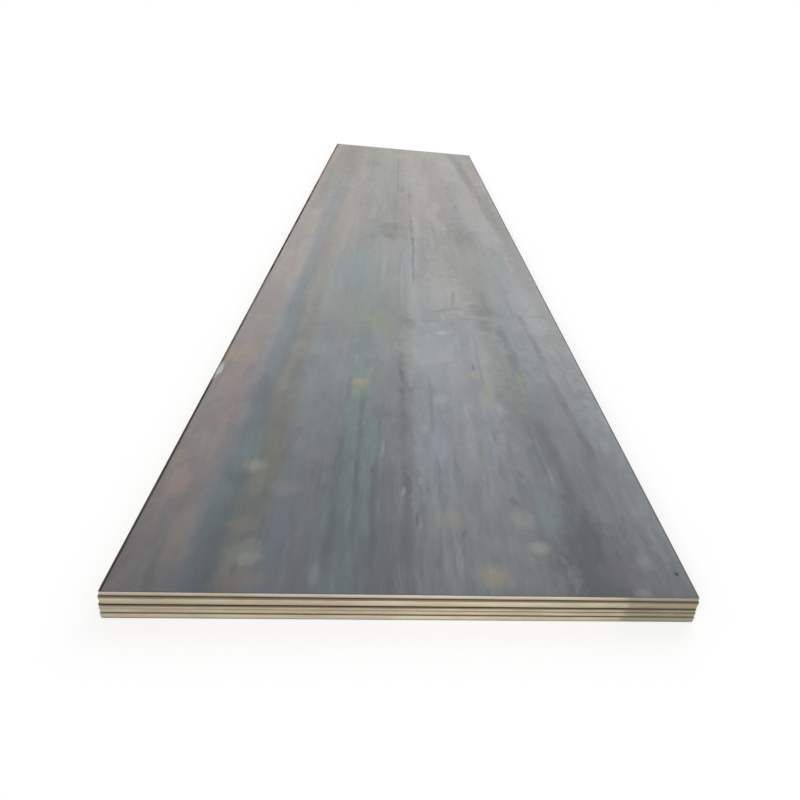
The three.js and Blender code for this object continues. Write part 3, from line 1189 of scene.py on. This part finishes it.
@dataclass
class Plate:
    """One plate, remade with a fine sheared edge in the place of its plain solid.

    Attributes:
        node: Name of the plain solid.
        slot: The record's material slot. Not used.
        seed: Seed of its relief and patterns.
        cut: Section of its edge.
        edge: The colours of its cut, and the painted shade at its foot and shoulder.
        wear: The marks and shine of its faces.
        corner: Radius of its knocked corners.
        corner_steps: Facets of a corner.
        fine: Step of the mesh along the edge.
        coarse_across: Number of wide cells across the faces.
        coarse_along: Number of wide cells along the faces.
        margin: Distance from the rim to the first wide cell.
        land_share: Share of the edge's wide relief that the clean cut has.
    """

    node: str
    slot: str
    seed: int
    cut: ShearCut = ShearCut()
    edge: EdgeWear = EdgeWear()
    wear: Wear = Wear()
    corner: float = 7 * MM
    corner_steps: int = 6
    fine: float = 10 * MM
    coarse_across: int = 15
    coarse_along: int = 60
    margin: float = 40 * MM
    land_share: float = 0.3

    def __post_init__(self) -> None:
        """Reads the plain solid's place and size."""
        low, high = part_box(self.node)
        self.middle = ((low.x + high.x) / 2, (low.y + high.y) / 2)
        self.half = ((high.x - low.x) / 2, (high.y - low.y) / 2)
        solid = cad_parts[self.node].data
        corners = [v.co.copy() for v in solid.vertices]
        self.surface = BVHTree.FromPolygons(corners, [tuple(p.vertices) for p in solid.polygons])
        self.thickness = self._height((0.0, 0.0), down=True) - self._height((0.0, 0.0), down=False)

    def _height(self, place: tuple[float, float], down: bool) -> float:
        """Height of the plain solid at a place.

        Args:
            place: The place, from the plate's middle.
            down: Whether to look down on the top, or else up at the underside.

        Returns:
            The height.
        """
        direction = Vector((0, 0, -1 if down else 1))
        start = Vector((self.middle[0] + place[0], self.middle[1] + place[1], 0)) - direction
        return self.surface.ray_cast(start, direction)[0].z

    def _underside(self, x: float, y: float) -> float:
        """Height of the underside at a place, or a little inside the rim where the place is nearer to it.

        Args:
            x: The place across, from the plate's middle.
            y: The place along, from the plate's middle.

        Returns:
            The height.
        """
        inside_x = min(max(x, self.margin / 2 - self.half[0]), self.half[0] - self.margin / 2)
        inside_y = min(max(y, self.margin / 2 - self.half[1]), self.half[1] - self.margin / 2)
        return self._height((inside_x, inside_y), down=True) - self.thickness

    def _outline(self) -> tuple[np.ndarray, np.ndarray, list[tuple[int, int]]]:
        """The plate's outline, anticlockwise from the near left corner.

        Returns:
            The points, the outward directions, and for each of the four sides its first and last index.
        """
        hx, hy = self.half[0] - self.corner, self.half[1] - self.corner
        turns = [(-hx, -hy), (hx, -hy), (hx, hy), (-hx, hy)]
        counts = [self._fine_count(0), self._fine_count(1)] * 2
        points: list[tuple[float, float]] = []
        normals: list[tuple[float, float]] = []
        sides: list[tuple[int, int]] = []
        for side in range(4):
            start, end = Vector(turns[side]), Vector(turns[(side + 1) % 4])
            angle = -math.pi / 2 + side * math.pi / 2
            out = Vector((math.cos(angle), math.sin(angle)))
            first = len(points)
            for step in range(counts[side] + 1):
                spot = start.lerp(end, step / counts[side]) + out * self.corner
                points.append(tuple(spot))
                normals.append(tuple(out))
            sides.append((first, len(points) - 1))
            for step in range(1, self.corner_steps):
                bend = angle + step / self.corner_steps * math.pi / 2
                out = Vector((math.cos(bend), math.sin(bend)))
                points.append(tuple(end + out * self.corner))
                normals.append(tuple(out))
        return np.array(points), np.array(normals), sides

    def _fine_count(self, axis: int) -> int:
        """Fine steps along a side, a whole number for each wide cell."""
        cells = (self.coarse_across, self.coarse_along)[axis]
        return cells * max(1, round(2 * self.half[axis] / cells / self.fine))

    def _relief(self, count: int, section: list[tuple[float, float, EdgeZone]]) -> np.ndarray:
        """How far the edge is torn in.

        Args:
            count: Number of points along the outline.
            section: The points of its section.

        Returns:
            The depth, by point of the section and point of the outline.
        """
        rng = np.random.default_rng(self.seed)

        def rolling(ripple: Ripple) -> np.ndarray:
            """One layer all round the outline, which ends as it starts."""
            step, depth = ripple.value
            knots = rng.normal(size=count // step)
            at = np.arange(count) / count * len(knots)
            wave = np.interp(at, np.arange(len(knots) + 1), np.append(knots, knots[0]))
            return np.abs(wave) * depth * MM

        swell = rolling(Ripple.WIDE) + rolling(Ripple.CLOSE)
        relief = np.zeros((len(section), count))
        for level, (_, _, zone) in enumerate(section):
            if zone is EdgeZone.FOOT:
                relief[level] = swell + rolling(Ripple.RAGGED_FOOT)
            elif zone is EdgeZone.TEAR:
                relief[level] = swell + rolling(Ripple.TORN)
            elif zone is EdgeZone.LAND:
                relief[level] = swell * self.land_share
        return relief

    def build(self) -> bpy.types.Object:
        """Makes the fine plate and puts it in the place of the plain solid.

        Returns:
            The plate.
        """
        outline, normals, sides = self._outline()
        section = self.cut.section(self.thickness)
        count = len(outline)
        verts, rise = self._edge_points(outline, normals, section)
        faces = self._edge_faces(count, len(section))
        edge_faces = len(faces)

        grid = self._wide_grid()
        for is_top in (False, True):
            ring = (len(section) - 1) * count if is_top else 0
            first = len(verts)
            lift = self.thickness if is_top else 0.0
            verts += [(x, y, self._underside(x, y) + lift) for x, y in grid.reshape(-1, 2)]
            rise += [lift] * (len(verts) - first)
            flat = self._face(first, ring, count, sides)
            faces += flat if is_top else [tuple(reversed(face)) for face in flat]

        mesh = self._mesh(verts, rise, faces, edge_faces)
        plate = bpy.data.objects.new(f"{self.node}_fine", mesh)
        bpy.context.scene.collection.objects.link(plate)
        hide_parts(self.node)
        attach(plate, "root")
        return plate

    def _edge_points(
        self, outline: np.ndarray, normals: np.ndarray, section: list[tuple[float, float, EdgeZone]]
    ) -> tuple[list[Triple], list[float]]:
        """The points of the sheared edge, ring upon ring.

        Args:
            outline: The plate's outline.
            normals: The directions outwards from it.
            section: The points of the edge's section.

        Returns:
            The points, and the height of each above the underside.
        """
        relief = self._relief(len(outline), section)
        seats = [self._underside(x, y) for x, y in outline]
        verts: list[Triple] = []
        rise: list[float] = []
        for level, (inset, height, _) in enumerate(section):
            ring = outline - normals * (inset + relief[level])[:, None]
            verts += [(x, y, seat + height) for (x, y), seat in zip(ring, seats, strict=True)]
            rise += [height] * len(outline)
        return verts, rise

    @staticmethod
    def _edge_faces(count: int, levels: int) -> list[tuple[int, ...]]:
        """The faces of the sheared edge, between each ring of points and the next one up.

        Args:
            count: Number of points in a ring.
            levels: Number of rings.

        Returns:
            The faces.
        """
        faces: list[tuple[int, ...]] = []
        for level in range(levels - 1):
            low, high = level * count, (level + 1) * count
            for i in range(count):
                j = (i + 1) % count
                faces.append((low + i, low + j, high + j, high + i))
        return faces

    def _mesh(
        self, verts: list[Triple], rise: list[float], faces: list[tuple[int, ...]], edge_faces: int
    ) -> bpy.types.Mesh:
        """Makes the mesh from its points and faces.

        Args:
            verts: The points, from the plate's middle.
            rise: The height of each above the underside.
            faces: The faces, those of the edge first.
            edge_faces: Number of faces of the edge.

        Returns:
            The mesh.
        """
        mesh = bpy.data.meshes.new(f"{self.node}_fine")
        shifted = [(x + self.middle[0], y + self.middle[1], z) for x, y, z in verts]
        mesh.from_pydata(shifted, [], faces)
        mesh.attributes.new(RISE, "FLOAT", "POINT").data.foreach_set("value", rise)
        slots = [EDGE_SLOT] * edge_faces + [SCALE_SLOT] * (len(faces) - edge_faces)
        mesh.polygons.foreach_set("material_index", slots)
        mesh.polygons.foreach_set("use_smooth", [True] * len(faces))
        mesh.set_sharp_from_angle(angle=SHARP_ANGLE)
        mesh.validate()
        return mesh

    def _wide_grid(self) -> np.ndarray:
        """The wide cells that fill a face inside its margin.

        Returns:
            Their corners, by number across and along.
        """
        xs = np.linspace(-1, 1, self.coarse_across + 1) * (self.half[0] - self.margin)
        ys = np.linspace(-1, 1, self.coarse_along + 1) * (self.half[1] - self.margin)
        return np.stack(np.meshgrid(xs, ys, indexing="ij"), axis=-1)

    def _face(
        self, first: int, ring: int, count: int, sides: list[tuple[int, int]]
    ) -> list[tuple[int, ...]]:
        """Faces of one side of the plate, facing up.

        Args:
            first: Index of the grid's first vertex.
            ring: Index of the rim's first vertex.
            count: Number of points round the rim.
            sides: First and last rim point of each straight side.

        Returns:
            The wide cells and the strip of many-sided faces between them and the rim.
        """
        nx, ny = self.coarse_across, self.coarse_along

        def at(i: int, j: int) -> int:
            """Index of a corner of the wide cells, counted across and along."""
            return first + i * (ny + 1) + j

        faces = [
            (at(i, j), at(i + 1, j), at(i + 1, j + 1), at(i, j + 1))
            for i in range(nx)
            for j in range(ny)
        ]
        borders = [
            [at(i, 0) for i in range(nx + 1)],
            [at(nx, j) for j in range(ny + 1)],
            [at(i, ny) for i in range(nx, -1, -1)],
            [at(0, j) for j in range(ny, -1, -1)],
        ]
        for side, border in enumerate(borders):
            start, end = sides[side]
            per_cell = (end - start) // (len(border) - 1)
            for cell in range(len(border) - 1):
                rim = range(start + cell * per_cell, start + (cell + 1) * per_cell + 1)
                faces.append((*[ring + i for i in rim], border[cell + 1], border[cell]))
            next_start = sides[(side + 1) % 4][0] + (count if side == 3 else 0)
            arc = [ring + i % count for i in range(end, next_start + 1)]
            faces.append((*arc, border[-1]))
        return faces

    def dress(self, plate: bpy.types.Object) -> None:
        """Gives the plate its mill scale and its sheared edge's bare steel, in the order of their slots.

        Args:
            plate: The plate's object.
        """
        size = (2 * self.half[0], 2 * self.half[1])
        scale = MillScale(f"{self.node}_mill_scale", size, self.seed * SCALE_SPACING, self.wear)
        steel = ShearedSteel(self.thickness, self.seed * EDGE_SPACING, self.edge)
        plate.data.materials.append(scale.build())
        plate.data.materials.append(steel.build(f"{self.node}_sheared_edge"))


@dataclass
class PlateStack:
    """The whole stack.

    Attributes:
        plates: The plates, from the floor up.
    """

    plates: tuple[Plate, ...]

    def build(self) -> None:
        """Builds and dresses every plate."""
        for plate in self.plates:
            piece = plate.build()
            plate.dress(piece)
            faces = len(piece.data.polygons)
            log.info("%s: %.0f mm thick, %d faces", piece.name, plate.thickness / MM, faces)


# ------------------------------------------------------------------ studio

SENSOR_WIDTH_MM = 36.0
CLIP_START, CLIP_END = 0.01, 500.0


@dataclass(frozen=True)
class Lamp:
    """A wide, soft lamp so far off that it lights the whole stack evenly.

    Attributes:
        name: The lamp's name.
        towards: Direction from the stack to the lamp.
        strength: Its strength.
        spread: Degrees that it spans in the sky.
    """

    name: str
    towards: Triple
    strength: float
    spread: float = 45.0

    def hang(self) -> None:
        """Hangs the lamp, turned to the stack."""
        light = bpy.data.lights.new(self.name, "SUN")
        light.energy = self.strength
        light.angle = math.radians(self.spread)
        lamp = bpy.data.objects.new(self.name, light)
        lamp.location = self.towards
        lamp.rotation_mode = "QUATERNION"
        lamp.rotation_quaternion = (-Vector(self.towards)).to_track_quat("-Z", "Y")
        bpy.context.scene.collection.objects.link(lamp)


@dataclass(frozen=True)
class Viewpoint:
    """Where the camera stands and how it is turned.

    Attributes:
        place: The lens's place.
        pitch: Degrees that it looks down.
        yaw: Degrees that it is turned to the right.
        roll: Degrees that it is tipped to the left.
        lens: Focal length in millimetres.
        shift: Shift of the lens, in shares of the frame.
    """

    place: Triple
    pitch: float
    yaw: float
    roll: float
    lens: float
    shift: tuple[float, float]

    def set_up(self) -> None:
        """Makes the camera and looks through it."""
        data = bpy.data.cameras.new("camera")
        data.lens = self.lens
        data.sensor_width = SENSOR_WIDTH_MM
        data.shift_x, data.shift_y = self.shift
        data.clip_start, data.clip_end = CLIP_START, CLIP_END
        camera = bpy.data.objects.new("camera", data)
        pitch, yaw, roll = (math.radians(a) for a in (self.pitch, self.yaw, self.roll))
        right = Vector((math.cos(yaw), -math.sin(yaw), 0))
        level, drop = math.cos(pitch), math.sin(pitch)
        forward = Vector((math.sin(yaw) * level, math.cos(yaw) * level, -drop))
        up = right.cross(forward)
        side = right * math.cos(roll) + up * math.sin(roll)
        top = up * math.cos(roll) - right * math.sin(roll)
        axes = Matrix((side, top, -forward)).transposed().to_4x4()
        camera.matrix_world = Matrix.Translation(self.place) @ axes
        bpy.context.scene.collection.objects.link(camera)
        bpy.context.scene.camera = camera


@dataclass(frozen=True)
class Studio:
    """Plain pale floor, soft even light and the camera.

    Attributes:
        floor_half: Half the floor's side.
        floor_drop: How far the floor lies under the stack, so that the two don't meet in one plane.
        bounce: Share of the light that the floor throws back.
        glow: Share of the floor that shows plain white whatever falls on it.
        dome: Strength of the light from all round.
        lamps: The lamps.
        viewpoint: The camera's stand.
    """

    floor_half: float
    floor_drop: float
    bounce: float
    glow: float
    dome: float
    lamps: tuple[Lamp, ...]
    viewpoint: Viewpoint

    def build(self) -> None:
        """Lays the floor, sets the light and the camera."""
        self._lay_floor()
        self._light_dome()
        for lamp in self.lamps:
            lamp.hang()
        self.viewpoint.set_up()
        log.info("studio: floor, dome, %d lamps and camera", len(self.lamps))

    @staticmethod
    def _seen(graph: Graph) -> Shade:
        """Tells the rays that show the background itself, straight or in a reflection.

        Args:
            graph: The graph of the background.

        Returns:
            1 for those rays and 0 for the light of the room.
        """
        outputs = graph.add("ShaderNodeLightPath").socket.node.outputs
        kinds = ("Is Camera Ray", "Is Glossy Ray", "Is Transmission Ray")
        camera, glossy, through = (Shade(graph, outputs[kind]) for kind in kinds)
        return graph.most(graph.most(camera, glossy), through)

    def _lay_floor(self) -> None:
        """Lays a white floor just under the stack."""
        side = self.floor_half
        mesh = bpy.data.meshes.new("floor")
        corners = [(-side, -side, 0), (side, -side, 0), (side, side, 0), (-side, side, 0)]
        mesh.from_pydata(corners, [], [(0, 1, 2, 3)])
        material, graph = new_material("floor_paint")
        tone = graph.mix(self._seen(graph), (self.bounce,) * 3, WHITE)
        paint = graph.add("ShaderNodeBsdfDiffuse", None, {"Color": tone, "Roughness": 0.0})
        glow = graph.add("ShaderNodeEmission", None, {"Color": (*WHITE, 1), "Strength": 1.0})
        graph.surface(graph.cover(self._seen(graph) * self.glow, paint, glow))
        mesh.materials.append(material)
        floor = bpy.data.objects.new("floor", mesh)
        floor.location.z = -self.floor_drop
        bpy.context.scene.collection.objects.link(floor)

    def _light_dome(self) -> None:
        """Sets even white light from all round, which shows as plain white."""
        world = bpy.data.worlds.new("dome")
        world.use_nodes = True
        graph = Graph(world.node_tree)
        strength = self.dome + self._seen(graph) * (1 - self.dome)
        sky = graph.add("ShaderNodeBackground", None, {"Color": (*WHITE, 1), "Strength": strength})
        graph.add("ShaderNodeOutputWorld", None, {"Surface": sky})
        bpy.context.scene.world = world


# ------------------------------------------------------------------ making


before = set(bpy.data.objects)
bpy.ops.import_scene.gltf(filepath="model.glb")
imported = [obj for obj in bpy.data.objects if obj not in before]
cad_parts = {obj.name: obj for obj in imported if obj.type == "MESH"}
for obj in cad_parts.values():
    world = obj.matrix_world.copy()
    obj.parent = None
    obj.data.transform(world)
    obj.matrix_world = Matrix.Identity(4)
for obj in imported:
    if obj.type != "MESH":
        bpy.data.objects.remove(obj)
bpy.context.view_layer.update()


def main() -> None:
    """Builds the stack and the studio round it."""
    logging.basicConfig(level=logging.INFO, format="%(name)s: %(message)s")
    bpy.context.scene.view_settings.view_transform = "Standard"

    stack = PlateStack(
        (
            Plate(
                "bottom_plate",
                "mill_scale_bottom",
                11,
                edge=EdgeWear(shoulder=0.1),
                wear=Wear(painted_shade=PALE_RIM_SHADE),
            ),
            Plate("fourth_plate", "mill_scale_fourth", 12, edge=EdgeWear(shoulder=0.3, foot=0.1)),
            Plate("third_plate", "mill_scale_third", 13, edge=EdgeWear(foot=0.3)),
            Plate("second_plate", "mill_scale_second", 14),
            Plate(
                "top_plate",
                "mill_scale_top",
                15,
                edge=EdgeWear(pale=GREY_CUT, warm=PINK_CUT, shoulder=0.0),
                wear=Wear(
                    gloss=1.6,
                    rim=3 * MM,
                    marks=TOP_MARKS,
                    lines=TOP_LINES,
                    soot_and_side_shade=6 * MM,
                    films=TOP_FILMS,
                    shade_breaks=TOP_SHADE_BREAKS,
                ),
            ),
        )
    )
    stack.build()

    studio = Studio(
        floor_half=60.0,
        floor_drop=0.2 * MM,
        bounce=0.55,
        glow=0.5,
        dome=0.5,
        lamps=(
            Lamp("key_lamp", (-3.0, -5.0, 5.4), 1.9),
            Lamp("back_lamp", (3.5, 5.0, 5.1), 0.5),
        ),
        viewpoint=Viewpoint(
            place=(-0.1051, -3.9419, 1.3005),
            pitch=30.765,
            yaw=6.763,
            roll=6.369,
            lens=25.885,
            shift=(-0.0523, -0.0324),
        ),
    )
    studio.build()


if __name__ == "__main__":
    main()
